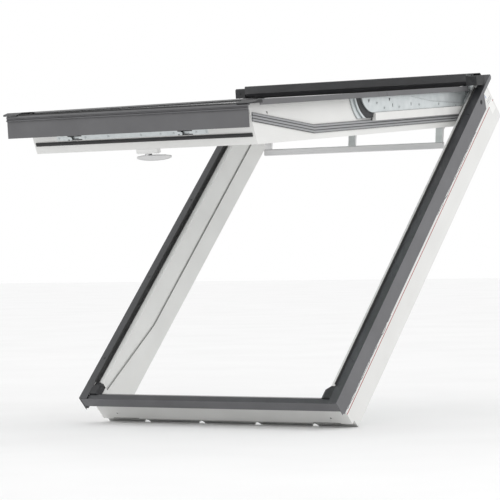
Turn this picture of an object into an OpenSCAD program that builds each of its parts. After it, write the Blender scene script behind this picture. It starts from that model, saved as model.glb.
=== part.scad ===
// Top-hung roof window with centre-pivot sash, shown part open.
// Pieces are drawn in frame coordinates: x across the window, y up the slope,
// z outwards from the roof, with z = 0 at the top face of the side covers.
// The frame is then laid at the roof pitch, with the origin at the sill mount.

/* [Frame] */
// Width over the frame's outer faces
frame_w = 780; // [640:1:1140]
// Length over the frame's outer faces, up the slope
frame_l = 1178; // [1000:1:1420]
// Depth from the side covers' top face to the room side
frame_depth = 137; // [125:1:150]
// Width of a jamb between outer face and opening
jamb_t = 34; // [32:0.5:40]
// Thickness of the top rail, up the slope
head_t = 35; // [30:1:50]
// Pitch of the roof
pitch = 45; // [15:1:75]

/* [Opening] */
// Angle by which the sash stands open on its top hinge
open_angle = 40.7; // [0:0.1:45]
// Distance of the top hinge below the frame's upper end
hinge_from_top = 42; // [40:1:50]
// Depth of the top hinge below the side covers' top face
hinge_depth = 15; // [12:0.5:20]
// Distance of the cleaning pivot from the frame's lower end
pivot_v = 603; // [500:1:700]
// Height of the cleaning pivot's arc centre above the side covers
pivot_n = 22; // [18:1:30]

/* [Sash] */
// Gap between a stile's outer face and the jamb, where the arm runs
arm_gap = 18; // [17:0.5:24]
// Width of a stile
stile_w = 48; // [40:1:70]
// Depth of the sash's room face below the side covers' top face
sash_depth = 100; // [92:1:110]
// Slant of the bottom rail's outer face from square
rail_slant = 19.34; // [15:0.01:22]
// Height of the bottom rail's room face, up the slope
rail_h = 53; // [45:1:80]
// Width of the top rail, up the slope
top_rail_h = 68; // [60:1:90]
// Gap between the sash's bottom rail and the sill rail
sill_gap = 7.5; // [7:0.5:12]

/* [Glass] */
// Thickness of each pane
pane_t = 4; // [3:0.5:6]
// Space between the panes
pane_gap = 16; // [12:1:18]
// Length by which the outer pane passes the sill rail
glass_nose = 20.5; // [15:0.5:22]

/* [Covers] */
// Sheet thickness of the covers
sheet = 1.5; // [1:0.1:2]
// Overhang of the side covers past the frame
cover_out = 11; // [8:0.5:16]
// Width of a side cover's top face
cover_top_w = 24.5; // [20:0.5:30]
// Depth of a side cover's outer leg
cover_leg = 50; // [40:1:60]
// Overhang of the sash's front cover past the sill rail
front_out = 32; // [30:0.5:40]
// Height of the sash's front face
front_h = 42; // [30:1:60]
// Height of the sash covers above the side covers
strip_top = 9.5; // [8.5:0.5:12]
// Height of the top casing above the side covers
casing_top = 44; // [38:1:50]

/* [Hardware] */
// Radius of the top hinge pins
pin_r = 5; // [4:0.5:6]
// Thickness of an arm's outer plate
arm_t = 3.5; // [3:0.5:4]
// Length of the ventilation bar
bar_l = 590; // [400:5:620]
// Overall length of the handle's grip
grip_l = 102; // [90:1:110]
// Travel of the lock rod
lock_travel = 20; // [16:1:22]

/* [Hidden] */
$fn = 48;

clear = 0.3;                // running gap between pieces that move past each other
snug = 0.1;                 // gap of a piece in its pocket
far = 3000;                 // reach of a cutting block

half_w = frame_w / 2;
jamb_in = half_w - jamb_t;              // inner wall of a jamb
sash_hw = jamb_in - arm_gap;            // outer face of a stile
hinge_v = frame_l - hinge_from_top;
hinge_n = -hinge_depth;
face_n = -72;                           // middle of the sill rail's outer face
rebate_n = -111;                        // outer face steps back below this
rebate_v = 13;

label_t = 0.6;                          // the label lies flush in the jamb
label_v = [frame_l - 32, frame_l - 6];
label_n = [-100, -24];

cover_x = half_w + cover_out;           // outer face of a side cover
cover_in = cover_x - cover_top_w;       // inner edge of a side cover
cover_low = -27;                        // lower end of the side covers
cover_high = frame_l + 22;              // upper end of the side covers
ledge_n = -9;                           // ledge beside the opening
gasket_w = 6;
gasket_top = 5;                         // its lip, above the side covers
block_v = 34;                           // upper end of a corner block
block_floor = -25;
block_step = -4.5;                      // its top beyond the sash's corner
block_nose = 7;                         // how far it stands into the opening

sill_top = -16;                         // sill rail's outer edge, at the foot of its bevel
sill_cover_n = -4;                      // top of the sill cover
sill_cover_v = -26;                     // front of the sill cover
sill_cover_h = 29;                      // height of its front face
sill_bend_v = sill_top - sill_cover_n + sheet * sqrt(2);   // its top face turns down here
sill_lip_in = 24;                       // inner face of the sill's lining lip
sill_lip_x = 350;                       // half length of the lip
notch_pitch = 176;
notch_r = 9;
head_top = -42;                         // top of the head rail

sash_top_v = frame_l - head_t - 5;      // upper end of the sash
rail_top_n = -2;
rail_top_v = 13;                        // bottom rail's outer edge at its top
function rail_v(n) = rail_top_v + (rail_top_n - n) * tan(rail_slant);
function sill_face_v(n) = rail_v(n) - sill_gap;
// Height at which the 45 degree bevel meets the sill's inner face
sill_bevel_n = (sill_top - rail_top_v - rail_top_n * tan(rail_slant) + sill_gap)
    / (1 - tan(rail_slant));
rail_low_v = rail_v(-sash_depth);
rail_in_v = rail_low_v + rail_h;        // glass side of the bottom rail
top_rail_v = sash_top_v - top_rail_h;

pane_n = 0.5;                           // underside of the outer pane
pane_top = pane_n + pane_t;
pane_floor = pane_n - pane_gap - pane_t;
rebate_floor = pane_floor - 2;
glass_wall = 3.5;                       // stile wall beside the glass
pane_x = sash_hw - glass_wall - 1;
pane_high = sash_top_v - 38;
inner_x = pane_x - 3;
inner_low = rail_v(rail_top_n) + 22;
inner_high = pane_high - 2;
spacer_w = 12;

strip_x = jamb_in + 11.5;               // outer face of the sash covers
strip_low = -4;                         // lower edge of their legs
cap_v = 22;                             // upper end of a corner cap
cap_x = strip_x + 16.5;
cap_n = 1.2;

arm_x0 = sash_hw + 6;                   // arm's inner plate
arm_x1 = arm_x0 + 2.5;                  // arm's outer plate starts
arm_x2 = arm_x1 + arm_t;
arm_low = -44;
arm_end_r = 66;                         // round end about the pivot's arc centre
arm_end_v = hinge_v - 38;
box_x0 = sash_hw + 3.5;
box_x1 = box_x0 + 11;
box_v0 = pivot_v + 4;
box_n0 = -65.5;
box_n1 = -44.5;
box_wall = 1.5;
cartridge_r = 3.4;
runner_r0 = 55;
runner_r1 = 87;
rib_w = 6;
plate_r = 107;                          // outer edge of the sash's pivot plate
plate_low = -57;
strip_joint = pivot_v;                  // sash cover below, arm cover above
cover_piece = 44;                       // short joint piece of the arm cover

casing_v = hinge_v - 39;                // front of the top casing
casing_back = hinge_v + 54;
casing_hw = jamb_in + 9;
casing_low = 10;
wing_x = casing_hw + 33;
wing_top = casing_top - 6;
bracket_t = 3;

gasket_n = -63;                         // top of the sash's side gaskets
gasket_h = 21.5;
gasket_bend = 313;                      // where they turn up towards the front
gasket_thick = 2.5;

lock_n = -63;                           // level of the lock on the slanted face
face_x0 = -262;
face_x1 = 204;
lock_h = 12;
cams = [-215, 125];
cam_r = 2.5;
cam_head_r = 4.5;
keep_reach = 8;
lock_y = -sill_gap * cos(rail_slant);   // sill rail's face seen from the lock

handle_v = 64;
rosette_l = 70;
rosette_w = 22;
rosette_h = 12;
grip_w = 18;
grip_t = 15;
grip_back = 34;                         // short end behind the spindle
spindle_r = 4;

flap_n0 = -99;
flap_n1 = -83;
flap_v0 = sash_top_v - 58;
flap_v1 = sash_top_v - 2;
flap_pin_v = sash_top_v - 8;
flap_pin_n = -91;
flap_pin_r = 2.5;
flap_room = 3;                          // space above the flap for its swing
bar_v = sash_top_v - 61;
bar_n = -151.5;
bar_h = 18.5;
bar_t = 9;
bracket_w = 22;

steel = "#c9d2d3";
white = "#ecebe7";
dark = "#5e5f62";
black = "#1e1f20";

// --- placing ---------------------------------------------------------------

module in_frame() {
    rotate([pitch, 0, 0]) translate([0, 0, -face_n]) children();
}
// A piece drawn where it lies with the window shut, swung open on the top hinge
module in_sash() {
    in_frame() translate([0, hinge_v, hinge_n]) rotate([-open_angle, 0, 0])
        translate([0, -hinge_v, -hinge_n]) children();
}
module along_v(from, to) {
    translate([0, to, 0]) rotate([90, 0, 0]) linear_extrude(to - from) children();
}
module along_x(from, to) {
    translate([from, 0, 0]) rotate([90, 0, 90]) linear_extrude(to - from) children();
}
module block(x, v, n) {
    translate([x[0], v[0], n[0]]) cube([x[1] - x[0], v[1] - v[0], n[1] - n[0]]);
}
module pin_x(from, to, v, n, r) {
    translate([from, v, n]) rotate([0, 90, 0]) cylinder(r = r, h = to - from);
}
module left() { mirror([1, 0, 0]) children(); }
module both() { children(); left() children(); }
// Coordinates on the bottom rail's slanted outer face: y into the rail
module on_rail_face() {
    translate([0, rail_v(lock_n), lock_n]) rotate([rail_slant, 0, 0]) children();
}
// Slice of a disc about the pivot's arc centre, lower left quarter
module quarter(x0, x1, r0, r1) {
    difference() {
        intersection() {
            pin_x(x0, x1, pivot_v, pivot_n, r1);
            block([x0 - 1, x1 + 1], [pivot_v - far, pivot_v], [plate_low, pivot_n - 17]);
        }
        if (r0 > 0) pin_x(x0 - 1, x1 + 1, pivot_v, pivot_n, r0);
    }
}

// --- frame -----------------------------------------------------------------

groove_d = 4;
groove_h = 9;

// Band that the side gaskets follow, h high about their middle line
module gasket_band(h, from, to) {
    start_n = -32;
    mid_n = gasket_n - gasket_h / 2;
    polygon([
        [from, start_n + h / 2], [gasket_bend, mid_n + h / 2], [to, mid_n + h / 2],
        [to, mid_n - h / 2], [gasket_bend, mid_n - h / 2], [from, start_n - h / 2]]);
}
module jamb() {
    difference() {
        along_v(0, frame_l) polygon([
            [half_w, -frame_depth], [half_w, -sheet], [cover_in, -sheet], [cover_in, ledge_n],
            [jamb_in, ledge_n], [jamb_in, -frame_depth]]);
        along_x(jamb_in - 1, jamb_in + groove_d)
            gasket_band(groove_h, block_v + 1, hinge_v - 46);
        block([jamb_in - 1, half_w + 1], [-1, rebate_v], [-frame_depth - 1, rebate_n]);
        block([jamb_in - 1, cover_in], [-1, block_v + snug], [block_floor, 1]);
        pin_x(jamb_in - 1, jamb_in + 12, hinge_v, hinge_n, pin_r);
    }
}
module right_jamb() {
    in_frame() color(white) difference() {
        jamb();
        block([half_w - label_t, half_w + 1], label_v, label_n);
    }
}
module left_jamb() { in_frame() color(white) left() jamb(); }

module keep_seat(cam) {
    translate([0, lock_y - sheet, 0])
        block([cam + keep_reach, cam + keep_reach + 26], [0, far], [-8, 8]);
}
module sill_rail() {
    slant_end = -72;
    in_frame() color(white) difference() {
        along_x(-jamb_in, jamb_in) polygon([
            [0, rebate_n], [0, sill_top], [sill_face_v(sill_bevel_n), sill_bevel_n],
            [sill_face_v(slant_end), slant_end], [sill_lip_in, slant_end - 8],
            [sill_lip_in, -frame_depth], [rebate_v, -frame_depth], [rebate_v, rebate_n]]);
        both() translate([sill_lip_x, 0, -frame_depth]) rotate([0, 45, 0])
            block([0, 60], [-1, sill_lip_in + 1], [-60, 0]);
        both() for (x = [notch_pitch / 2, notch_pitch * 1.5])
            translate([x, -1, -frame_depth]) rotate([-90, 0, 0])
                cylinder(r = notch_r, h = sill_lip_in + 2);
        both() translate([335, -1, -90]) rotate([-90, 0, 0]) cylinder(r = 2.5, h = 16);
        both() block([272, jamb_in + 1], [-1, 5], [rebate_n + 1, rebate_n + 3.5]);
        for (cam = cams) on_rail_face() keep_seat(cam);
    }
}
module head_rail() {
    in_frame() color(white)
        block([-jamb_in, jamb_in], [frame_l - head_t, frame_l], [-frame_depth, head_top]);
}

module side_cover() {
    tip = 6;
    step_n = -12;
    difference() {
        along_v(cover_low, cover_high) polygon([
            [cover_in, 0], [cover_x, 0], [cover_x, -cover_leg], [cover_x - sheet, -cover_leg],
            [cover_x - sheet, -sheet], [cover_in, -sheet]]);
        translate([0, cover_low, -cover_leg]) rotate([45, 0, 0])
            block([cover_in, cover_x + 1], [-tip, tip], [-tip, tip / 2]);
        along_x(cover_in, cover_x + 1) polygon([
            [frame_l - 66, -cover_leg - 1], [frame_l - 44, step_n], [cover_high - 5, step_n],
            [cover_high + 1, step_n + 6], [cover_high + 1, -cover_leg - 1]]);
    }
}
module right_frame_cover() { in_frame() color(dark) side_cover(); }
module left_frame_cover() { in_frame() color(dark) left() side_cover(); }

module sill_cover() {
    front = sill_cover_v;
    under = sill_cover_n - sheet;
    end_v = sill_face_v(sill_bevel_n);
    end_x = jamb_in - block_nose - clear;
    in_frame() color(dark) {
        along_x(sheet - cover_x + clear, cover_x - sheet - clear) polygon([
            [front, sill_cover_n - sill_cover_h], [front, sill_cover_n],
            [front + sheet, sill_cover_n], [front + sheet, sill_cover_n - sill_cover_h]]);
        along_x(-cover_in + clear, cover_in - clear) polygon([
            [front, under], [front, sill_cover_n], [sill_bend_v, sill_cover_n],
            [sill_bend_v, under]]);
        along_x(-end_x, end_x) polygon([
            [sill_bend_v, sill_cover_n], [end_v, sill_bevel_n + sheet * sqrt(2)],
            [end_v, sill_bevel_n], [sill_top - under, under]]);
    }
}
module head_cover() {
    in_frame() color(dark) along_x(-jamb_in + clear, jamb_in - clear) polygon([
        [frame_l - head_t, head_top], [frame_l - head_t, head_top + sheet],
        [cover_high - 2, head_top + sheet], [cover_high - 2, head_top - 34],
        [cover_high - 2 - sheet, head_top - 34], [cover_high - 2 - sheet, head_top]]);
}

module corner_block() {
    low = sill_bend_v + clear;
    inner = jamb_in - block_nose;
    difference() {
        union() {
            block([jamb_in, cover_in], [snug, block_v], [block_floor, block_step]);
            block([jamb_in, cover_in - clear], [low, snug], [sill_top + 2, -0.2]);
            block([jamb_in, cover_in - clear], [snug, cap_v - 2], [block_step, -0.2]);
            block([inner, jamb_in], [low, block_v], [ledge_n - 4, block_step]);
            block([inner, jamb_in], [low, cap_v - 2], [block_step, -0.2]);
        }
        translate([inner, block_v, -20]) rotate([0, 0, 45])
            block([-9, 9], [-8, 8], [-1, 30]);
        along_v(low - 1, block_v + 1) polygon([
            [inner - 1, -3], [jamb_in + 3, 1], [inner - 1, 1]]);
    }
}
module right_corner_block() { in_frame() color(black) corner_block(); }
module left_corner_block() { in_frame() color(black) left() corner_block(); }

module frame_gaskets() {
    out = cover_in - snug;
    in_frame() color(black) both() along_v(block_v + 2 * snug, hinge_v + 8) polygon([
        [out - gasket_w, ledge_n], [out, ledge_n], [out, 0.5], [out - 1.5, gasket_top],
        [out - 3, gasket_top], [out - 3, -3], [out - gasket_w, -5]]);
}

module hinge_brackets() {
    in_frame() color(steel) both() difference() {
        block([jamb_in - bracket_t, jamb_in], [hinge_v - 41, hinge_v + 6], [hinge_n - 29, -5]);
        pin_x(jamb_in - bracket_t - 1, jamb_in + 1, hinge_v, hinge_n, pin_r);
        for (v = [hinge_v - 30, hinge_v - 14])
            pin_x(jamb_in - bracket_t - 1, jamb_in + 1, v, hinge_n - 16, 2.2);
    }
}
module hinge_pins() {
    in_frame() color(steel) both()
        pin_x(arm_x0 - 1, jamb_in + 12, hinge_v, hinge_n, pin_r);
}
module bracket_screws() {
    in_frame() color(steel) both() for (v = [hinge_v - 30, hinge_v - 14])
        pin_x(jamb_in - bracket_t - 1.2, jamb_in - bracket_t, v, hinge_n - 16, 4);
}

// Fork in which a lock cam hooks when the rod has slid across
module keep(cam) {
    x0 = cam + keep_reach;
    x1 = x0 + 26;
    wide = 7;
    difference() {
        union() {
            block([x0 + snug, x1 - snug], [lock_y - sheet, lock_y], [-wide, wide]);
            block([x1 - 3, x1 - snug], [lock_y, -1], [-wide, wide]);
            block([x0, x1 - snug], [-2.8, -1], [-wide, wide]);
        }
        block([x0 - 1, cam + lock_travel], [-4, 0], [-cam_r - 0.5, cam_r + 0.5]);
        translate([cam + lock_travel, 0, 0]) rotate([90, 0, 0])
            cylinder(r = cam_r + 0.5, h = 4);
    }
}
module lock_keeps() {
    in_frame() color(steel) on_rail_face() for (cam = cams) keep(cam);
}

module cover_screws() {
    count = 4;
    in_frame() color(steel) both() for (i = [0:count - 1])
        translate([cover_x - 11, 120 + i * (frame_l - 260) / (count - 1), 0])
            cylinder(r = 3.2, h = 1.2);
}
module label_plate() {
    in_frame() color(white) block([half_w - label_t, half_w], label_v, label_n);
}

// --- arms and top casing ---------------------------------------------------

module arm() {
    eye = 16;
    top = strip_top - sheet;
    rise_v = casing_v + 17;
    back = casing_back - 10;
    difference() {
        union() {
            quarter(arm_x0 + 2.5, arm_x2, 0, arm_end_r);
            along_x(arm_x0, arm_x1) polygon([
                [pivot_v, arm_low], [arm_end_v, arm_low], [hinge_v, hinge_n - eye],
                [hinge_v + eye, hinge_n], [back, hinge_n + 35],
                [back, casing_top - sheet], [rise_v, casing_top - sheet],
                [rise_v, top], [pivot_v + 1, top], [pivot_v, pivot_n - 17]]);
            along_x(arm_x1, arm_x2) polygon([
                [pivot_v, arm_low], [arm_end_v, arm_low], [arm_end_v, -38],
                [arm_end_v - 14, -37], [arm_end_v - 186, -25], [arm_end_v - 291, -9.6],
                [arm_end_v - 300, top], [pivot_v + 1, top], [pivot_v, pivot_n - 17]]);
            pin_x(arm_x0, arm_x2, hinge_v, hinge_n, eye - 4);
        }
        pin_x(arm_x0 - 1, arm_x2 + 1, hinge_v, hinge_n, pin_r + 0.06);
        for (v = [pivot_v - 24, pivot_v + 85])
            pin_x(arm_x2 - 2, arm_x2 + 1, v, -12, 6, $fn = 3);
        for (v = [pivot_v + 100, pivot_v + 200])
            block([arm_x2 - 2, arm_x2 + 1], [v, v + 3], [-33, -24]);
    }
}
module right_arm() { in_sash() color(steel) arm(); }
module left_arm() { in_sash() color(steel) left() arm(); }

module arm_box() {
    difference() {
        block([box_x0, box_x1], [box_v0, arm_end_v], [box_n0, box_n1]);
        block([box_x0 + box_wall, box_x1 - box_wall], [box_v0 + box_wall, arm_end_v - box_wall],
              [box_n0 + box_wall, box_n1 - box_wall]);
    }
    // web that carries the box from the arm's lower edge
    block([arm_x0, arm_x1], [box_v0 + 20, arm_end_v - 4], [box_n1, arm_low]);
}
module right_arm_box() { in_sash() color(white) arm_box(); }
module left_arm_box() { in_sash() color(white) left() arm_box(); }

module spring_cartridges() {
    mid_x = (box_x0 + box_x1) / 2;
    in_sash() color(steel) both() {
        translate([mid_x, box_v0 + 10, box_n0 + box_wall + cartridge_r]) rotate([-90, 0, 0])
            cylinder(r = cartridge_r, h = 300);
        translate([mid_x, box_v0 + 310, box_n0 + box_wall + cartridge_r]) rotate([-90, 0, 0])
            cylinder(r = 1.5, h = arm_end_v - box_v0 - 310 - box_wall);
    }
}

module pivot_runners() {
    in_sash() color(black) both()
        quarter(sash_hw + 4.2, arm_x0 + 2.5, runner_r0, runner_r1);
}

module arm_cover() {
    start = strip_joint + clear;
    gap = 1.2;
    for (run = [[start, start + cover_piece - gap], [start + cover_piece, casing_v + 7]])
        along_v(run[0], run[1]) polygon([
            [sash_hw + 2, strip_top], [strip_x, strip_top], [strip_x, strip_low],
            [strip_x - sheet, strip_low], [strip_x - sheet, strip_top - sheet],
            [sash_hw + 2, strip_top - sheet]]);
}
module right_arm_cover() { in_sash() color(dark) arm_cover(); }
module left_arm_cover() { in_sash() color(dark) left() arm_cover(); }

module top_casing() {
    f = casing_v;
    b = casing_back;
    t = casing_top;
    fold = 6;
    in_sash() color(dark) along_x(-casing_hw, casing_hw) polygon([
        [f + 15, casing_low], [f + 7, casing_low], [f, 22], [f, t - 2], [f + 2, t],
        [b - fold, t], [b, t - fold], [b, 14], [b - sheet, 14], [b - sheet, t - fold - 0.6],
        [b - fold - 0.6, t - sheet], [f + 2.6, t - sheet], [f + sheet, t - 2.6],
        [f + sheet, 22.4], [f + 7.9, casing_low + sheet], [f + 15, casing_low + sheet]]);
}
module casing_end() {
    f = casing_v;
    wall = 2.5;
    inner = casing_hw + 2.5;
    difference() {
        along_x(casing_hw, wing_x) polygon([
            [f, casing_low], [f, wing_top - 4], [f + 4, wing_top], [f + 49, wing_top],
            [f + 49, 22], [f + 35, casing_low]]);
        along_x(inner, wing_x - wall) polygon([
            [f + wall, casing_low - 1], [f + wall, wing_top - 5], [f + 5, wing_top - wall],
            [f + 46.5, wing_top - wall], [f + 46.5, 20], [f + 32, casing_low - 1]]);
    }
    along_x(casing_hw, inner) polygon([
        [f + 48, 22], [f + 48, wing_top], [casing_back - 8, wing_top],
        [casing_back, wing_top - 8], [casing_back, 20], [f + 62, 20]]);
}
module right_casing_end() { in_sash() color(dark) casing_end(); }
module left_casing_end() { in_sash() color(dark) left() casing_end(); }

module casing_seal() {
    in_sash() color(black)
        block([-sash_hw, sash_hw], [casing_v + 8, casing_v + 14], [7.3, casing_low]);
}
module casing_screws() {
    in_sash() color(steel) both()
        translate([casing_hw + 18, casing_v - 1.4, 24]) rotate([-90, 0, 0])
            cylinder(r = 3.5, h = 1.4);
}

// --- sash ------------------------------------------------------------------

module glass_side_wall(from, to) {
    both() block([sash_hw - glass_wall, sash_hw], [from, to], [rebate_floor, strip_top - sheet]);
}
module bottom_rail() {
    seat = 31;
    in_sash() color(white) difference() {
        union() {
            along_x(-sash_hw, sash_hw) polygon([
                [rail_top_v, rail_top_n], [rail_low_v, -sash_depth], [rail_in_v, -sash_depth],
                [rail_in_v, rebate_floor - 8], [rail_in_v - 8, rebate_floor],
                [seat, rebate_floor], [seat, rail_top_n]]);
            glass_side_wall(cap_v + clear, rail_in_v);
        }
        on_rail_face() block([face_x0, face_x1], [-1, 5.2], [-lock_h / 2, lock_h / 2]);
        on_rail_face() for (cam = cams)
            block([cam - 27, cam + 37], [0, 14], [-lock_h / 2, lock_h / 2]);
        block([-20, 20], [handle_v - 14, handle_v + 14], [-96, -64]);
        translate([0, handle_v, -sash_depth - 1]) cylinder(r = spindle_r + 1, h = 20);
    }
}
module top_rail() {
    v0 = top_rail_v;
    v1 = sash_top_v;
    roof = flap_n1 + flap_room;
    in_sash() color(white) difference() {
        union() {
            along_x(-sash_hw, sash_hw) polygon([
                [v0, -sash_depth], [flap_v0 - 2, -sash_depth], [flap_v0 - 2, roof], [v1, roof],
                [v1, pane_top + 0.3], [pane_high + 3, pane_top + 0.3],
                [pane_high + 3, rebate_floor], [v0 + 8, rebate_floor], [v0, rebate_floor - 8]]);
            glass_side_wall(v0, pane_high + 3);
            both() block([sash_hw - 20, sash_hw], [flap_v0 - 2, v1], [-sash_depth, roof]);
        }
        both() pin_x(sash_hw - 21, sash_hw + 1, flap_pin_v, flap_pin_n, flap_pin_r);
    }
}
module stile() {
    inner = sash_hw - stile_w;
    along_v(rail_in_v, top_rail_v) polygon([
        [sash_hw, -sash_depth], [sash_hw, strip_top - sheet],
        [sash_hw - glass_wall, strip_top - sheet], [sash_hw - glass_wall, rebate_floor],
        [inner + 8, rebate_floor], [inner, rebate_floor - 8], [inner, -sash_depth]]);
}
module right_stile() { in_sash() color(white) stile(); }
module left_stile() { in_sash() color(white) left() stile(); }

module outer_pane() {
    in_sash() color("#dfe9ee", 0.4)
        block([-pane_x, pane_x], [-glass_nose, pane_high], [pane_n, pane_top]);
}
module inner_pane() {
    in_sash() color("#dfe9ee", 0.4)
        block([-inner_x, inner_x], [inner_low, inner_high], [pane_floor, pane_floor + pane_t]);
}
module pane_spacer() {
    in_sash() color(black) difference() {
        block([-inner_x, inner_x], [inner_low, inner_high], [pane_floor + pane_t, pane_n]);
        block([spacer_w - inner_x, inner_x - spacer_w],
              [inner_low + spacer_w, inner_high - spacer_w], [pane_floor, pane_n + 1]);
    }
}
module glazing_gasket() {
    lip = glass_nose + 0.5;
    in_sash() color(black) {
        along_x(-pane_x, pane_x) polygon([
            [-lip - 5, -0.5], [28, -0.5], [28, pane_n], [-lip, pane_n],
            [-lip, pane_top - 0.3], [-lip - 3, pane_top - 0.3], [-lip - 5, 2]]);
        difference() {
            block([-inner_x, inner_x], [inner_low, inner_high], [rebate_floor, pane_floor]);
            block([spacer_w - inner_x, inner_x - spacer_w],
                  [inner_low + spacer_w, inner_high - spacer_w], [rebate_floor - 1, pane_floor + 1]);
        }
    }
}

module front_cover() {
    f = -front_out;
    low = -14 - front_h;
    in_sash() color(dark) {
        along_x(-strip_x, strip_x) polygon([
            [f, low], [f, -13.5], [f - 4, -12], [f - 4, -9.5], [f - 1.5, -8], [f - 1.5, -5.5],
            [f - 3, -4.5], [f - 3, -1], [f + 1, 1], [f + 6, 1], [f + 6, rail_top_n],
            [f + 2, rail_top_n], [f + sheet, -5], [f + sheet, low]]);
        along_x(-pane_x, pane_x) polygon([
            [f + 6, rail_top_n], [f + 6, -0.5], [28, -0.5], [28, rail_top_n]]);
    }
}
module sash_cover() {
    bead = 22;
    fold = 8;
    top = strip_top;
    bottom = strip_top - sheet;
    along_v(cap_v + clear, sash_top_v - 52) polygon([
        [sash_hw - bead, pane_top + 0.3], [sash_hw - bead, pane_top + 1.8],
        [sash_hw - bead + fold, top], [sash_hw, top], [sash_hw, bottom],
        [sash_hw - bead + fold + 0.7, bottom], [sash_hw - bead + 1.5, pane_top + 0.3]]);
    along_v(cap_v + clear, strip_joint) polygon([
        [sash_hw, bottom], [sash_hw, top], [strip_x, top], [strip_x, strip_low],
        [strip_x - sheet, strip_low], [strip_x - sheet, bottom]]);
}
module right_sash_cover() { in_sash() color(dark) sash_cover(); }
module left_sash_cover() { in_sash() color(dark) left() sash_cover(); }

module top_glass_cover() {
    n0 = pane_top + 0.3;
    in_sash() color(dark) block([-pane_x, pane_x], [sash_top_v - 52 + clear, sash_top_v - 1],
                               [n0, n0 + sheet]);
}

module corner_cap() {
    x0 = sash_hw - glass_wall;
    f = -front_out - 3;
    intersection() {
        along_x(x0, cap_x) polygon([
            [f, cap_n], [f, cap_n + 2], [-8, strip_top], [cap_v, strip_top], [cap_v, cap_n]]);
        linear_extrude(strip_top) polygon([
            [x0, f], [cap_x - 10, f], [cap_x, f + 9], [cap_x, cap_v - 14],
            [strip_x, cap_v], [x0, cap_v]]);
    }
}
module right_corner_cap() { in_sash() color(black) corner_cap(); }
module left_corner_cap() { in_sash() color(black) left() corner_cap(); }

module sash_gaskets() {
    in_sash() color(black) {
        both() along_x(sash_hw, sash_hw + gasket_thick)
            gasket_band(gasket_h, rail_v(-32) + 4, sash_top_v - 40);
        on_rail_face() block([-sash_hw + 6, sash_hw - 8], [-gasket_thick, 0], [-18, -9]);
    }
}
module pivot_plates() {
    x1 = sash_hw + 3.9;
    in_sash() color(steel) both() {
        quarter(sash_hw, x1, runner_r0 - rib_w - clear, plate_r);
        quarter(x1, arm_x1 - clear, runner_r1 + clear, runner_r1 + clear + rib_w);
        quarter(x1, arm_x1 - clear, runner_r0 - rib_w - clear, runner_r0 - clear);
    }
}

// --- lock and handle -------------------------------------------------------

module lock_faceplate() {
    in_sash() color(steel) on_rail_face() difference() {
        block([face_x0, face_x1], [0, sheet], [-lock_h / 2, lock_h / 2]);
        for (cam = cams) {
            block([cam, cam + lock_travel], [-1, sheet + 1], [-cam_r - clear, cam_r + clear]);
            for (x = [cam, cam + lock_travel]) translate([x, sheet + 1, 0]) rotate([90, 0, 0])
                cylinder(r = cam_r + clear, h = sheet + 2);
        }
    }
}
module lock_cases() {
    in_sash() color(steel) on_rail_face() for (cam = cams)
        block([cam - 27, cam + 37], [5.2, 14], [-lock_h / 2, lock_h / 2]);
}
module lock_gearbox() {
    in_sash() color(steel) difference() {
        block([-20, 20], [handle_v - 14, handle_v + 14], [-96, -64]);
        translate([0, handle_v, -97]) cylinder(r = spindle_r + clear, h = 28);
    }
}
module lock_rod() {
    in_sash() color(steel) on_rail_face() {
        block([face_x0 + 4, face_x1 - lock_travel - 4], [sheet + clear, 4.6], [-3.5, 3.5]);
        for (cam = cams) translate([cam, sheet + 1, 0]) rotate([90, 0, 0]) {
            cylinder(r = cam_r, h = sheet + 1 + 3.3);
            translate([0, 0, sheet + 1 + 3.3]) cylinder(r = cam_head_r, h = 2);
        }
    }
}
module round_bar(l, w, h) {
    translate([-l / 2 + w / 2, -w / 2, 0]) cube([l - w, w, h]);
    for (s = [-1, 1]) translate([s * (l - w) / 2, 0, 0]) cylinder(r = w / 2, h = h);
}
module handle_rosette() {
    in_sash() color(white) translate([0, handle_v, -sash_depth - rosette_h]) difference() {
        union() {
            translate([0, 0, 2]) round_bar(rosette_l, rosette_w, rosette_h - 2);
            round_bar(rosette_l - 6, rosette_w - 6, 2);
        }
        translate([0, 0, -1]) cylinder(r = spindle_r + 1, h = rosette_h + 2);
    }
}
module handle_lever() {
    neck = 3;
    grip_n = -sash_depth - rosette_h - neck - grip_t;
    in_sash() color(steel) translate([0, handle_v, 0]) {
        translate([grip_l / 2 - grip_back, 0, grip_n]) {
            translate([0, 0, 5]) round_bar(grip_l, grip_w, grip_t - 7);
            translate([0, 0, 2]) round_bar(grip_l - 4, grip_w - 3, 3);
            round_bar(grip_l - 10, grip_w - 8, 2);
            translate([0, 0, grip_t - 2]) round_bar(grip_l - 6, grip_w - 5, 2);
        }
        translate([0, 0, grip_n + grip_t]) cylinder(r = 9, h = neck - clear);
        translate([0, 0, grip_n + grip_t]) cylinder(r = spindle_r, h = neck + rosette_h + 28);
    }
}

// --- ventilation flap ------------------------------------------------------

module vent_flap() {
    hw = sash_hw - 20 - 0.5;
    in_sash() color(white) difference() {
        along_x(-hw, hw) polygon([
            [flap_v0, flap_n0], [flap_v0, flap_n1], [flap_v1, flap_n1], [flap_v1, flap_n0]]);
        both() pin_x(hw - 15, hw + 1, flap_pin_v, flap_pin_n, flap_pin_r + 0.05);
    }
}
module flap_pins() {
    in_sash() color(steel) both()
        pin_x(sash_hw - 34, sash_hw - 1, flap_pin_v, flap_pin_n, flap_pin_r);
}
module vent_bar() {
    in_sash() color("silver") along_x(-bar_l / 2, bar_l / 2) polygon([
        [bar_v - bar_t / 2, bar_n + bar_h / 2 - 2], [bar_v - bar_t / 2 + 2, bar_n + bar_h / 2],
        [bar_v + bar_t / 2, bar_n + bar_h / 2], [bar_v + bar_t / 2, bar_n - bar_h / 2 + 4],
        [bar_v + 1, bar_n - bar_h / 2], [bar_v - bar_t / 2, bar_n - bar_h / 2 + 2]]);
}
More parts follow.
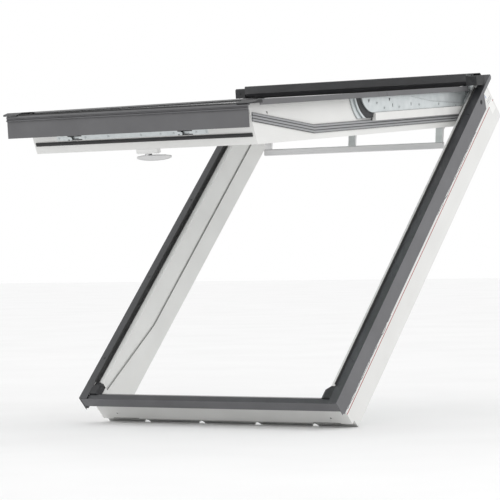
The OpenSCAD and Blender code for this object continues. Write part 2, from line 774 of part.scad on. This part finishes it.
module bar_brackets() {
    top = bar_n + bar_h / 2;
    x = bar_l / 2 - bracket_w / 2 - 2;
    in_sash() color("silver") for (c = [-x, 0, x])
        along_x(c - bracket_w / 2, c + bracket_w / 2) polygon([
            [bar_v - 3, top], [bar_v + 3.5, top], [bar_v + 11, flap_n0 - 8],
            [bar_v + 22, flap_n0], [bar_v + 4, flap_n0]]);
}

sill_rail();
head_rail();
left_jamb();
right_jamb();
left_frame_cover();
right_frame_cover();
sill_cover();
head_cover();
left_corner_block();
right_corner_block();
frame_gaskets();
hinge_brackets();
hinge_pins();
bracket_screws();
lock_keeps();
cover_screws();
label_plate();
left_arm();
right_arm();
left_arm_box();
right_arm_box();
spring_cartridges();
pivot_runners();
left_arm_cover();
right_arm_cover();
top_casing();
left_casing_end();
right_casing_end();
casing_seal();
casing_screws();
bottom_rail();
top_rail();
left_stile();
right_stile();
outer_pane();
inner_pane();
pane_spacer();
glazing_gasket();
front_cover();
left_sash_cover();
right_sash_cover();
top_glass_cover();
left_corner_cap();
right_corner_cap();
sash_gaskets();
pivot_plates();
lock_faceplate();
lock_cases();
lock_gearbox();
lock_rod();
handle_rosette();
handle_lever();
vent_flap();
vent_bar();
bar_brackets();
flap_pins();
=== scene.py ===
"""Roof window, top-hung with a centre-pivot sash: finishes, small parts and studio."""
import math

import bpy
from mathutils import Matrix, Vector


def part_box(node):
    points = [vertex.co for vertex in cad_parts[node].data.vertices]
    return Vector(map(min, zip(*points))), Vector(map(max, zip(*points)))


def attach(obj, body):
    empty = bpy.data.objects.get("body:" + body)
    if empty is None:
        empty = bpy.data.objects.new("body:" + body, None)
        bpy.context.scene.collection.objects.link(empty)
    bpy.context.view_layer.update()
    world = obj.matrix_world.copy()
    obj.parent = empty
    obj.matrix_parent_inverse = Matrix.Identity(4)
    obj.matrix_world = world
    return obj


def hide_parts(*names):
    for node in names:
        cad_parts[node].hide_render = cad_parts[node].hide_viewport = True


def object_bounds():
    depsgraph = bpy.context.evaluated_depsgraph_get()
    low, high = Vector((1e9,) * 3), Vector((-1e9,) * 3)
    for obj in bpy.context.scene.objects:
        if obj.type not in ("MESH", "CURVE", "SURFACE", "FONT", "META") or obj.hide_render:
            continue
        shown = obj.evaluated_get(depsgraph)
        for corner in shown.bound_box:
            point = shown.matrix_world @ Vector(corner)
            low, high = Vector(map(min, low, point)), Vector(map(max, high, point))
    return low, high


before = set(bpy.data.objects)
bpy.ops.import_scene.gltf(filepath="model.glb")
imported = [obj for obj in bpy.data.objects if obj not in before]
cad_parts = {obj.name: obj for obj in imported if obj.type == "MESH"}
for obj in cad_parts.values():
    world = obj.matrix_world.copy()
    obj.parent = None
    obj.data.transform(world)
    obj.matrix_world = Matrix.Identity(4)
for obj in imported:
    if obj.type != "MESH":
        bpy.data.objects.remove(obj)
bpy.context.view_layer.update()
MM = 0.001

# --- Where things are ------------------------------------------------------
# The frame leans at the roof pitch. ACROSS, UP and OUT are its own directions,
# and the sash has the same three, turned about the top hinge.
PITCH = math.radians(45)
OPEN = math.radians(40.7)
FACE = -72 * MM                     # level of the sill's middle, where the origin is
HINGE = (1136 * MM, -15 * MM)       # up the slope, and out of the roof
IN_FRAME = Matrix.Rotation(PITCH, 4, "X") @ Matrix.Translation((0, 0, -FACE))
IN_SASH = (
    IN_FRAME
    @ Matrix.Translation((0, *HINGE))
    @ Matrix.Rotation(-OPEN, 4, "X")
    @ Matrix.Translation((0, -HINGE[0], -HINGE[1]))
)
FRAME_UP = IN_FRAME.to_3x3() @ Vector((0, 1, 0))
FRAME_OUT = IN_FRAME.to_3x3() @ Vector((0, 0, 1))
SASH_OUT = IN_SASH.to_3x3() @ Vector((0, 0, 1))
SASH_UP = IN_SASH.to_3x3() @ Vector((0, 1, 0))

JAMB_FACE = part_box("right_jamb")[1][0]
COVER_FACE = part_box("right_frame_cover")[1][0]
ARM_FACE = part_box("right_arm")[1][0]
SASH_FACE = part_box("bottom_rail")[1][0]
BOTH_SIDES = ((-1, "left"), (1, "right"))

# The outer face of the sash's bottom rail slants, and the lock sits on it.
RAIL_SLANT = math.radians(19.34)
RAIL_FOOT = 13 * MM                 # up the slope, where the slanted face begins
LOCK_DEPTH = 61 * MM                # from there in to the middle of the lock
LOCK_LEVEL = -63 * MM
CAMS = (-215, 125)                  # across, in mm

# The side seal runs level down to the bend, and from there slopes out of the roof.
SEAL_BEND = 313 * MM
SEAL_LEVEL = -73.75 * MM
SEAL_SLOPE = 0.148                  # outward for each length past the bend
RIB = 3.6 * MM                      # half the distance from rib to rib

# The two tones of the white skin, on every rail and jamb
COAT_WHITE = ("#e4e4e2", "#ebebe9")


# --- Materials -------------------------------------------------------------

def linear(hex_colour):
    """An sRGB hex colour as a linear one with alpha."""
    def channel(text):
        value = int(text, 16) / 255
        return value / 12.92 if value <= 0.04045 else ((value + 0.055) / 1.055) ** 2.4
    return tuple(channel(hex_colour[i:i + 2]) for i in (1, 3, 5)) + (1.0,)


def add(tree, kind, inputs=None, **settings):
    """Adds a node, with its settings, and its inputs as values or as sockets to link."""
    node = tree.nodes.new(kind)
    for name, value in settings.items():
        setattr(node, name, value)
    for key, value in (inputs or {}).items():
        if isinstance(value, bpy.types.NodeSocket):
            tree.links.new(value, node.inputs[key])
        else:
            node.inputs[key].default_value = value
    return node


def new_material(name, **shader):
    """A material with a Principled shader; returns it, its tree and the shader node."""
    material = bpy.data.materials.new(name)
    material.use_nodes = True
    tree = material.node_tree
    node = tree.nodes["Principled BSDF"]
    for key, value in shader.items():
        node.inputs[key.replace("_", " ")].default_value = value
    return material, tree, node


def grain(tree, size_mm, detail=3.0, stretch=(1, 1, 1)):
    """Noise with features of about size_mm in object space, drawn out along stretch."""
    place = add(tree, "ShaderNodeTexCoord").outputs["Object"]
    scaled = add(tree, "ShaderNodeMapping", {"Vector": place, "Scale": stretch})
    return add(tree, "ShaderNodeTexNoise", {
        "Vector": scaled.outputs["Vector"], "Scale": 1 / (size_mm * MM), "Detail": detail,
    }).outputs["Fac"]


def ramp(tree, fac, low, high, stops=(0.3, 0.7)):
    """Turns a factor into a colour between two hex colours."""
    node = add(tree, "ShaderNodeValToRGB", {"Fac": fac})
    for element, at, colour in zip(node.color_ramp.elements, stops, (low, high)):
        element.position = at
        element.color = linear(colour)
    return node.outputs["Color"]


def span(tree, fac, low, high):
    """Maps a 0 to 1 factor to the range low to high."""
    return add(tree, "ShaderNodeMapRange", {
        "Value": fac, "To Min": low, "To Max": high}).outputs["Result"]


def bump(tree, node, height, depth_mm, strength=1.0):
    """Gives the shader a height in millimetres as bump."""
    made = add(tree, "ShaderNodeBump", {
        "Height": height, "Distance": depth_mm * MM, "Strength": strength})
    tree.links.new(made.outputs["Normal"], node.inputs["Normal"])


def math_node(tree, operation, a, b=0.0, c=0.0):
    """The result of one calculation, as a socket."""
    return add(tree, "ShaderNodeMath", {0: a, 1: b, 2: c}, operation=operation).outputs[0]


def along(tree, direction):
    """The distance in metres along a direction, from the row's origin."""
    place = add(tree, "ShaderNodeTexCoord").outputs["Object"]
    return add(tree, "ShaderNodeVectorMath", {0: place, 1: direction},
               operation="DOT_PRODUCT").outputs["Value"]


def band(tree, distance, centre_mm, half_mm):
    """1 inside a band across a distance, and 0 outside."""
    return math_node(tree, "COMPARE", distance, centre_mm * MM, half_mm * MM)


def facing(tree, direction, limit):
    """1 on faces that look along a direction, and 0 elsewhere."""
    normal = add(tree, "ShaderNodeTexCoord").outputs["Normal"]
    dot = add(tree, "ShaderNodeVectorMath", {0: normal, 1: direction},
              operation="DOT_PRODUCT").outputs["Value"]
    return math_node(tree, "GREATER_THAN", dot, limit)


def painted_corner_shade(tree, colour, reach_mm, shade):
    """Paints shade into a colour in joints and inner corners, from ambient occlusion."""
    open_share = add(tree, "ShaderNodeAmbientOcclusion", {"Distance": reach_mm * MM},
                     samples=6).outputs["AO"]
    fac = add(tree, "ShaderNodeMapRange", {
        "Value": open_share, "From Min": 0.25, "From Max": 0.85}).outputs["Result"]
    return mix(tree, fac, linear(shade), colour)


def mix(tree, fac, a, b):
    """Blends colour a to colour b as the factor goes from 0 to 1."""
    return add(tree, "ShaderNodeMix", {"Factor": fac, 6: a, 7: b}, data_type="RGBA").outputs[2]


def polyurethane_white():
    # Timber in a moulded white polyurethane skin: even, satin, with a very soft
    # orange peel that breaks the highlights, and a hint of unevenness in tone.
    material, tree, node = new_material(
        "moulded_white_polyurethane", Roughness=0.42, IOR=1.5, Coat_Weight=0.12,
        Coat_Roughness=0.25)
    tone = ramp(tree, grain(tree, 140, 2), *COAT_WHITE)
    # Painted shade: joints and inner corners darkened towards grey by ambient occlusion.
    tone = painted_corner_shade(tree, tone, 14, "#8d8d8c")
    tree.links.new(tone, node.inputs["Base Color"])
    tree.links.new(span(tree, grain(tree, 30), 0.36, 0.48), node.inputs["Roughness"])
    bump(tree, node, grain(tree, 2.2, 2), 0.05, 0.6)
    return material


def jamb_white():
    # The same skin on the jambs. Their outer side, which goes against the roof,
    # carries the ragged edge of a dark foil and a thin red marking line.
    material, tree, node = new_material(
        "jamb_white_polyurethane", Roughness=0.42, IOR=1.5, Coat_Weight=0.12,
        Coat_Roughness=0.25)
    tone = ramp(tree, grain(tree, 140, 2), *COAT_WHITE)
    # Painted shade: joints and inner corners darkened towards grey by ambient occlusion.
    tone = painted_corner_shade(tree, tone, 12, "#8d8d8c")
    out = along(tree, FRAME_OUT)
    up = along(tree, FRAME_UP)
    side = math_node(tree, "ABSOLUTE", along(tree, (1, 0, 0)))
    outer = math_node(tree, "GREATER_THAN", side, JAMB_FACE - 0.2 * MM)
    line = math_node(tree, "MULTIPLY", band(tree, out, -2, 1.4), outer)
    wave = span(tree, grain(tree, 26, 2), -7 * MM, 7 * MM)
    shifted = math_node(tree, "ADD", out, wave)
    foil = math_node(tree, "MULTIPLY", band(tree, shifted, 6, 0.9), outer)
    crumpled = math_node(tree, "GREATER_THAN",
                         math_node(tree, "SINE", math_node(tree, "MULTIPLY", up, 9.0)), 0.1)
    foil = math_node(tree, "MULTIPLY", foil, crumpled)
    colour = mix(tree, line, tone, linear("#a83a36"))
    colour = mix(tree, foil, colour, linear("#4a4c50"))
    tree.links.new(colour, node.inputs["Base Color"])
    bump(tree, node, grain(tree, 2.2, 2), 0.05, 0.6)
    return material


def coated_sheet(name, faces, shaded_tops, out, roughness):
    # Roll-coated aluminium sheet: grey paint, slightly mottled, with fine lengthwise
    # drawing marks in the sheen. Faces that look out of the roof get a darker copy of the grey
    # as painted shade.
    material, tree, node = new_material(name, IOR=1.5, Coat_Weight=0.2, Coat_Roughness=0.35)
    mottle = grain(tree, 90, 4)
    side = ramp(tree, mottle, *faces)
    top = ramp(tree, mottle, *shaded_tops)
    # Painted shade: faces that look along out take the darker copy of the grey.
    colour = mix(tree, facing(tree, out, 0.6), side, top)
    # Painted shade in joints and inner corners, from ambient occlusion.
    colour = painted_corner_shade(tree, colour, 8, "#161617")
    tree.links.new(colour, node.inputs["Base Color"])
    sheen = span(tree, grain(tree, 6, 3, (0.04, 1, 1)), roughness - 0.06, roughness + 0.08)
    tree.links.new(sheen, node.inputs["Roughness"])
    bump(tree, node, grain(tree, 0.9, 2), 0.03, 0.5)
    return material


def zinc_steel():
    # Zinc-plated pressed steel: pale and cool, with rolled streaks along the slope
    # and painted shade in the folds, from ambient occlusion.
    material, tree, node = new_material("zinc_plated_steel", Metallic=0.55)
    tone = ramp(tree, grain(tree, 22, 3), "#ccd2d3", "#dadfe0")
    tone = painted_corner_shade(tree, tone, 7, "#4d5152")
    tree.links.new(tone, node.inputs["Base Color"])
    streak = span(tree, grain(tree, 2.5, 3, (1, 0.06, 1)), 0.30, 0.46)
    tree.links.new(streak, node.inputs["Roughness"])
    bump(tree, node, grain(tree, 1.2, 2, (1, 0.1, 1)), 0.02, 0.5)
    return material


def powder_coat():
    # Powder-coated steel channel: warm white with a fine pebble.
    material, tree, node = new_material("powder_coated_channel", Roughness=0.4, IOR=1.5)
    tone = ramp(tree, grain(tree, 60, 2), "#e3e3e1", "#ebebe9")
    # Painted shade: joints and inner corners darkened by ambient occlusion.
    tone = painted_corner_shade(tree, tone, 6, "#5c5b59")
    tree.links.new(tone, node.inputs["Base Color"])
    bump(tree, node, grain(tree, 0.8, 2), 0.06, 0.6)
    return material


def moulded_nylon():
    # Black glass-filled nylon, spark-eroded texture: matt, greyer where it is rubbed.
    material, tree, node = new_material("moulded_black_nylon", IOR=1.53)
    tone = ramp(tree, grain(tree, 18, 4), "#161718", "#26272a")
    tree.links.new(tone, node.inputs["Base Color"])
    tree.links.new(span(tree, grain(tree, 4), 0.42, 0.60), node.inputs["Roughness"])
    bump(tree, node, grain(tree, 0.7, 2), 0.08, 0.7)
    return material


def rubber(name, low, high):
    # Extruded sealing rubber: soft sheen with faint lengthwise die lines.
    material, tree, node = new_material(name, IOR=1.52, Sheen_Weight=0.15)
    tree.links.new(ramp(tree, grain(tree, 25, 3), low, high), node.inputs["Base Color"])
    tree.links.new(span(tree, grain(tree, 8), 0.55, 0.75), node.inputs["Roughness"])
    bump(tree, node, grain(tree, 1.0, 2, (1, 0.1, 0.1)), 0.05, 0.5)
    return material


def ribbed_seal():
    # Side seal of the sash: grey rubber with three ribs that follow its bend, and
    # painted shade darkening the grooves between them. The seal across the front is plain
    # black.
    material, tree, node = new_material("ribbed_grey_rubber", IOR=1.52, Roughness=0.6)
    origin = IN_SASH @ Vector((0, 0, 0))
    up = math_node(tree, "SUBTRACT", along(tree, SASH_UP), origin.dot(SASH_UP))
    out = math_node(tree, "SUBTRACT", along(tree, SASH_OUT), origin.dot(SASH_OUT))
    short = math_node(tree, "MAXIMUM", math_node(tree, "SUBTRACT", SEAL_BEND, up), 0.0)
    centre = math_node(tree, "MULTIPLY_ADD", short, SEAL_SLOPE, SEAL_LEVEL)
    across = math_node(tree, "ABSOLUTE", math_node(tree, "SUBTRACT", out, centre))
    rib = math_node(tree, "PINGPONG", math_node(tree, "ADD", across, RIB), RIB)
    height = math_node(tree, "DIVIDE", rib, RIB)
    # Painted shade: dark grey in the grooves between the ribs, lighter grey on the crests.
    colour = ramp(tree, height, "#3c3d3f", "#a3a4a6", (0.12, 0.5))
    inner = math_node(tree, "LESS_THAN",
                      math_node(tree, "ABSOLUTE", along(tree, (1, 0, 0))), SASH_FACE - 2 * MM)
    colour = mix(tree, inner, colour, linear("#29292a"))
    tree.links.new(colour, node.inputs["Base Color"])
    bump(tree, node, height, 1.5, 0.9)
    return material


def float_glass():
    # Float glass: clear and smooth, green only through its edge.
    material, tree, node = new_material(
        "float_glass", Roughness=0.02, IOR=1.52, Transmission_Weight=1.0)
    tree.links.new(ramp(tree, grain(tree, 400, 1), "#eef6f4", "#f6fbfa"),
                   node.inputs["Base Color"])
    return material


def satin_aluminium():
    # Anodised aluminium with fine brush marks along its length.
    material, tree, node = new_material("anodised_aluminium", Metallic=0.9)
    tone = ramp(tree, grain(tree, 40, 2, (0.1, 1, 1)), "#c6c6c7", "#d6d6d6")
    # Painted shade: joints and inner corners darkened by ambient occlusion.
    tone = painted_corner_shade(tree, tone, 6, "#55565a")
    tree.links.new(tone, node.inputs["Base Color"])
    streak = span(tree, grain(tree, 1.5, 3, (0.03, 1, 1)), 0.28, 0.42)
    tree.links.new(streak, node.inputs["Roughness"])
    bump(tree, node, grain(tree, 0.8, 2, (0.03, 1, 1)), 0.02, 0.6)
    return material


def moulded_white():
    # Injection-moulded white plastic: smooth, with a soft gloss.
    material, tree, node = new_material("moulded_white_plastic", IOR=1.5, Coat_Weight=0.2)
    tree.links.new(ramp(tree, grain(tree, 50, 2), "#ebebea", "#f3f3f2"),
                   node.inputs["Base Color"])
    tree.links.new(span(tree, grain(tree, 12), 0.24, 0.34), node.inputs["Roughness"])
    bump(tree, node, grain(tree, 1.5, 2), 0.02, 0.4)
    return material


def blank_label():
    # A film sticker with nothing to read: white, with plain grey bars and a blue stroke.
    material, tree, node = new_material("blank_film_sticker", Roughness=0.3, IOR=1.5)
    up = along(tree, FRAME_UP)
    out = along(tree, FRAME_OUT)
    bars = math_node(tree, "GREATER_THAN",
                     math_node(tree, "PINGPONG", up, 3.2 * MM), 2.2 * MM)
    bars = math_node(tree, "MULTIPLY", bars, band(tree, out, 14, 8))
    blue = math_node(tree, "MULTIPLY", band(tree, out, 34, 6), band(tree, up, 1149, 0.8))
    colour = mix(tree, bars, linear("#f2f2f0"), linear("#8b8c8e"))
    colour = mix(tree, blue, colour, linear("#3f74c4"))
    tree.links.new(colour, node.inputs["Base Color"])
    bump(tree, node, grain(tree, 3, 2), 0.01, 0.4)
    return material


WHITE = polyurethane_white()
JAMB = jamb_white()
# The second pair of greys in each sheet is painted shade for the faces that look out of the
# roof.
FRAME_SHEET = coated_sheet("coated_frame_sheet", ("#5c5c5f", "#656568"),
                           ("#333436", "#3c3d40"), FRAME_OUT, 0.42)
SASH_SHEET = coated_sheet("coated_sash_sheet", ("#59595b", "#616163"),
                          ("#38383a", "#414143"), SASH_OUT, 0.42)
CASING = coated_sheet("coated_casing_sheet", ("#343436", "#3b3b3d"),
                      ("#2b2b2d", "#323234"), SASH_OUT, 0.40)
ZINC = zinc_steel()
CHANNEL = powder_coat()
NYLON = moulded_nylon()
BLACK_SEAL = rubber("black_sealing_rubber", "#131313", "#202021")
RIBBED_SEAL = ribbed_seal()
GLASS = float_glass()
ALUMINIUM = satin_aluminium()
PLASTIC = moulded_white()
LABEL = blank_label()

NODE_FINISH = {
    WHITE: ["sill_rail", "head_rail", "bottom_rail", "top_rail", "left_stile", "right_stile",
            "vent_flap"],
    JAMB: ["left_jamb", "right_jamb"],
    FRAME_SHEET: ["left_frame_cover", "right_frame_cover", "sill_cover", "head_cover",
                  "cover_screws"],
    SASH_SHEET: ["front_cover", "left_sash_cover", "right_sash_cover", "left_arm_cover",
                 "right_arm_cover", "top_glass_cover"],
    CASING: ["top_casing"],
    ZINC: ["hinge_brackets", "hinge_pins", "bracket_screws", "lock_keeps",
           "left_arm", "right_arm", "spring_cartridges", "pivot_plates",
           "lock_faceplate", "lock_cases", "lock_gearbox", "lock_rod", "flap_pins"],
    CHANNEL: ["left_arm_box", "right_arm_box"],
    NYLON: ["left_corner_block", "right_corner_block", "pivot_runners", "left_corner_cap",
            "right_corner_cap", "pane_spacer", "left_casing_end", "right_casing_end",
            "casing_screws"],
    BLACK_SEAL: ["frame_gaskets", "casing_seal", "glazing_gasket"],
    RIBBED_SEAL: ["sash_gaskets"],
    GLASS: ["outer_pane", "inner_pane"],
    ALUMINIUM: ["vent_bar", "bar_brackets", "handle_lever"],
    PLASTIC: ["handle_rosette"],
    LABEL: ["label_plate"],
}
for finish, nodes in NODE_FINISH.items():
    for name in nodes:
        for material_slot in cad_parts[name].material_slots:
            material_slot.material = finish


# --- Small parts -----------------------------------------------------------

def mm(x, up, out):
    """A place given in millimetres across, up the slope and out of the roof."""
    return Vector((x, up, out)) * MM


def choose(piece, test):
    """Goes to edit mode with only the faces that pass the test selected."""
    bpy.context.view_layer.objects.active = piece
    bpy.ops.object.mode_set(mode="EDIT")
    bpy.ops.mesh.select_mode(type="FACE")
    bpy.ops.mesh.select_all(action="DESELECT")
    bpy.ops.object.mode_set(mode="OBJECT")
    for face in piece.data.polygons:
        face.select = test(face)
    bpy.ops.object.mode_set(mode="EDIT")


def soften(piece, width_mm, segments=3):
    """Rounds the piece's edges and gives it smooth shading."""
    bevel = piece.modifiers.new("bevel", "BEVEL")
    bevel.width, bevel.segments, bevel.limit_method = width_mm * MM, segments, "ANGLE"
    bpy.context.view_layer.objects.active = piece
    bpy.ops.object.modifier_apply(modifier="bevel")
    bpy.ops.object.shade_smooth_by_angle(angle=math.radians(40))


def finish_piece(piece, name, place, body, material):
    """Puts a piece, drawn across, up and out, in its place and on its body."""
    bpy.ops.object.select_all(action="DESELECT")
    piece.select_set(True)
    bpy.context.view_layer.objects.active = piece
    piece.matrix_world = place @ piece.matrix_world
    bpy.ops.object.transform_apply(location=True, rotation=True, scale=True)
    piece.name = piece.data.name = name
    piece.data.materials.clear()
    piece.data.materials.append(material)
    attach(piece, body)


def new_block(low, high):
    """A block between two corners."""
    bpy.ops.object.select_all(action="DESELECT")
    bpy.ops.mesh.primitive_cube_add(size=1, location=(low + high) / 2)
    piece = bpy.context.object
    piece.scale = high - low
    bpy.ops.object.transform_apply(location=True, rotation=False, scale=True)
    return piece


def new_disc(at, axis, radius_mm, height_mm, sides=32):
    """A disc standing on the point at, along axis."""
    bpy.ops.object.select_all(action="DESELECT")
    turn = axis.to_track_quat("Z", "Y")
    bpy.ops.mesh.primitive_cylinder_add(
        vertices=sides, radius=radius_mm * MM, depth=height_mm * MM,
        location=at + axis * height_mm * MM / 2, rotation=turn.to_euler())
    piece = bpy.context.object
    bpy.ops.object.transform_apply(location=True, rotation=True, scale=False)
    return piece


def screw_head(at, axis, radius_mm, height_mm):
    """A pan head with a round socket."""
    piece = new_disc(at, axis, radius_mm, height_mm, 24)
    choose(piece, lambda face: face.normal.dot(axis) > 0.9)
    bpy.ops.mesh.inset(thickness=radius_mm * 0.5 * MM)
    bpy.ops.mesh.extrude_region_move(
        TRANSFORM_OT_translate={"value": axis * -0.7 * height_mm * MM})
    bpy.ops.object.mode_set(mode="OBJECT")
    soften(piece, 0.12 * radius_mm, 2)
    return piece


def joined(pieces):
    """Makes one object of several."""
    bpy.ops.object.select_all(action="DESELECT")
    for piece in pieces:
        piece.select_set(True)
    bpy.context.view_layer.objects.active = pieces[0]
    bpy.ops.object.join()
    return bpy.context.object


def make_handle():
    """The lever: a lens-shaped grip on a round neck."""
    low, high = mm(-34, 55, -130), mm(68, 73, -115)
    grip = new_block(low, high)
    choose(grip, lambda face: True)
    bpy.ops.mesh.subdivide(number_cuts=3)
    bpy.ops.object.mode_set(mode="OBJECT")
    middle = (low + high) / 2
    for side in (-1, 1):
        choose(grip, lambda face: face.normal.x * side > 0.9)
        end = Vector((high.x if side > 0 else low.x, middle.y, middle.z + 3 * MM))
        bpy.ops.transform.resize(value=(1, 0.62, 0.45), center_override=end)
        bpy.ops.object.mode_set(mode="OBJECT")
    rounding = grip.modifiers.new("rounding", "SUBSURF")
    rounding.levels = rounding.render_levels = 2
    bpy.ops.object.modifier_apply(modifier="rounding")
    bpy.ops.object.shade_smooth()
    neck = new_disc(mm(0, 64, -118), Vector((0, 0, 1)), 9, 5.7)
    soften(neck, 0.8)
    lever = joined([grip, neck])
    finish_piece(lever, "handle_grip", IN_SASH, "handle", ALUMINIUM)
    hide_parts("handle_lever")


def make_rivets():
    """Rivets on the outer faces of both arms, along the plate."""
    places = ((622, -20), (660, -34), (740, -34), (850, -32), (960, -34), (1060, -41))
    for side, hand in BOTH_SIDES:
        heads = [screw_head(mm(side * ARM_FACE / MM, up, out), Vector((side, 0, 0)), 3.2, 1.2)
                 for up, out in places]
        finish_piece(joined(heads), f"{hand}_arm_rivets", IN_SASH, "lift_arms",
                     ZINC)


def make_lock_screws():
    """Screws in the lock faceplate, and the black guides beside its two cams."""
    middle = Vector((0, RAIL_FOOT + LOCK_DEPTH * math.tan(RAIL_SLANT), LOCK_LEVEL))
    on_rail = (IN_SASH @ Matrix.Translation(middle)
               @ Matrix.Rotation(RAIL_SLANT, 4, "X"))
    outward = Vector((0, -1, 0))
    heads = [screw_head(mm(x, 0, 0), outward, 2.6, 1.0)
             for x in (-255, -172, -100, 0, 60, 100, 168, 198)]
    finish_piece(joined(heads), "lock_screws", on_rail, "sash", ZINC)
    guides = []
    length, thickness, width = 44, 0.8, 2.2
    for cam in CAMS:
        for edge in (-4.9, 4.9):
            low = mm(cam - 12, -thickness, edge - width / 2)
            guide = new_block(low, low + mm(length, thickness, width))
            soften(guide, 0.3, 2)
            guides.append(guide)
    finish_piece(joined(guides), "cam_guides", on_rail, "sash", NYLON)


def make_cover_plugs():
    """Black domed plugs on the legs of the side covers, below the hinges."""
    height = 2.2
    reach = COVER_FACE / MM - height
    for side, hand in BOTH_SIDES:
        plug = new_disc(mm(side * reach, 1104, -17), Vector((side, 0, 0)), 7.5, height, 40)
        choose(plug, lambda face: face.normal.x * side > 0.9)
        bpy.ops.mesh.inset(thickness=2.2 * MM)     # the width of its rim
        bpy.ops.object.mode_set(mode="OBJECT")
        soften(plug, 1.0)
        finish_piece(plug, f"{hand}_cover_plug", IN_FRAME, "frame", NYLON)


make_handle()
make_rivets()
make_lock_screws()
make_cover_plugs()


# --- Camera, lights and floor ----------------------------------------------

def make_camera():
    """A long lens, almost level, from the front and the right."""
    yaw, tilt, roll = (math.radians(a) for a in (32.74, 0.08, -0.99))
    ahead = Vector((-math.sin(yaw) * math.cos(tilt), math.cos(yaw) * math.cos(tilt),
                    math.sin(tilt)))
    level = Vector((math.cos(yaw), math.sin(yaw), 0))
    upright = level.cross(ahead)
    right = level * math.cos(roll) + upright * math.sin(roll)
    above = upright * math.cos(roll) - level * math.sin(roll)
    data = bpy.data.cameras.new("camera")
    data.lens, data.sensor_width = 185.6, 36
    data.clip_end = 100
    camera = bpy.data.objects.new("camera", data)
    bpy.context.scene.collection.objects.link(camera)
    turn = Matrix((right, above, -ahead)).transposed().to_4x4()
    camera.matrix_world = Matrix.Translation((3.7225, -5.6234, 0.4106)) @ turn
    bpy.context.scene.camera = camera


def make_light(name, place, target, size, power):
    """A round soft light aimed at a target."""
    data = bpy.data.lights.new(name, "AREA")
    data.shape, data.size, data.energy = "DISK", size, power
    light = bpy.data.objects.new(name, data)
    bpy.context.scene.collection.objects.link(light)
    light.location = place
    aim = Vector(target) - Vector(place)
    light.rotation_mode = "QUATERNION"
    light.rotation_quaternion = aim.to_track_quat("-Z", "Y")


def make_studio():
    """White surroundings, two soft lights and a pale floor."""
    world = bpy.data.worlds.new("studio")
    bpy.context.scene.world = world
    world.use_nodes = True
    background = world.node_tree.nodes["Background"]
    background.inputs["Color"].default_value = (1, 1, 1, 1)
    background.inputs["Strength"].default_value = 1.0
    middle = (0, 0.35, 0.5)
    make_light("key", (4.5, -2.5, 3.2), middle, 2.6, 22)
    make_light("fill", (-3.5, -4.0, 2.2), middle, 3.0, 5)
    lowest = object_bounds()[0].z
    bpy.ops.object.select_all(action="DESELECT")
    bpy.ops.mesh.primitive_plane_add(size=60, location=(0, 0, lowest - 0.5 * MM))
    floor = bpy.context.object
    floor.name = "floor"
    paper, tree, node = new_material("matt_white_paper", Roughness=0.9)
    tree.links.new(ramp(tree, grain(tree, 500, 2), "#f6f6f6", "#fafafa"),
                   node.inputs["Base Color"])
    floor.data.materials.append(paper)


make_camera()
make_studio()
bpy.context.scene.view_settings.view_transform = "Standard"
